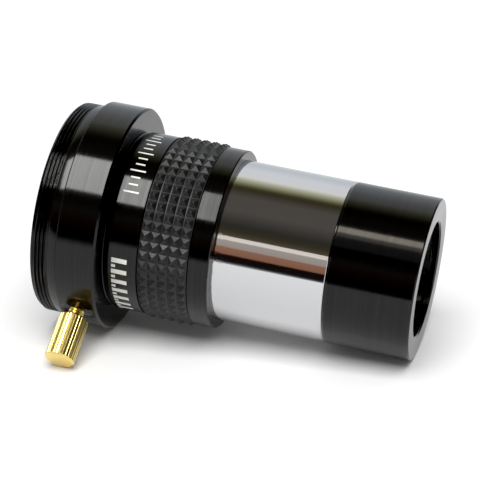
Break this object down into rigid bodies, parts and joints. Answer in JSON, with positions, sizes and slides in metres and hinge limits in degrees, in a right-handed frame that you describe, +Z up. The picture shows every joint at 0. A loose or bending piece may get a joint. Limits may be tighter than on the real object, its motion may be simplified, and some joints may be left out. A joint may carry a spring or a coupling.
{
  "type": "barlow lens",
  "caption": "Barlow lens: chromed nose barrel with screw-in glass cell, ribbed rubber grip, T-thread top, eyepiece socket with clamp ring and thumbscrew.",
  "frame": {"origin": "centre of the shoulder that seats against the focuser, on the optical axis", "axes": "+X along the optical axis, out of the nose; +Z up with the lens lying on its side and the clamp screw pointing down and to the front (-Y)"},
  "size_m": [0.0733, 0.0498, 0.0446],
  "materials": {
    "black_anodised": "glossy black anodised, fine turned lines",
    "brass": "bright machined, straight fluted",
    "grip_rubber": "matt moulded, small pyramids",
    "chrome": "polished chrome plate",
    "optical_glass": "polished, thin anti-reflection coating"
  },
  "bodies": {
    "body": {"body_tube": "black_anodised", "eyepiece_holder": "black_anodised", "grip_sleeve": "grip_rubber", "barrel_tube": "chrome"},
    "clamp_ring": {"clamp_ring": "brass"},
    "thumbscrew": {"thumbscrew": "brass"},
    "optics": {"front_lens_element": "optical_glass", "rear_lens_element": "optical_glass", "retaining_ring": "black_anodised"},
    "lens_cell": {"lens_cell": "black_anodised"}
  },
  "joints": [
    {"name": "clamp_travel", "type": "slide", "parent": "body", "child": "clamp_ring", "axis": [0, 0.7902, 0.6129], "range_m": [-0.00025, 0.0005]},
    {"name": "thumbscrew_turn", "type": "hinge", "parent": "clamp_ring", "child": "thumbscrew", "pos_m": [-0.0253, 0, 0], "axis": [0, 0.7902, 0.6129], "range_deg": [-180, 360]},
    {"name": "cell_travel", "type": "slide", "parent": "body", "child": "optics", "axis": [1, 0, 0], "range_m": [0, 0.0048]},
    {"name": "cell_turn", "type": "hinge", "parent": "optics", "child": "lens_cell", "pos_m": [0, 0, 0], "axis": [1, 0, 0], "range_deg": [0, 2880]}
  ],
  "couplings": [
    {"joint": "thumbscrew_turn", "follows": "clamp_travel", "rad_per_m": 12566},
    {"joint": "cell_turn", "follows": "cell_travel", "rad_per_m": 10472}
  ]
}
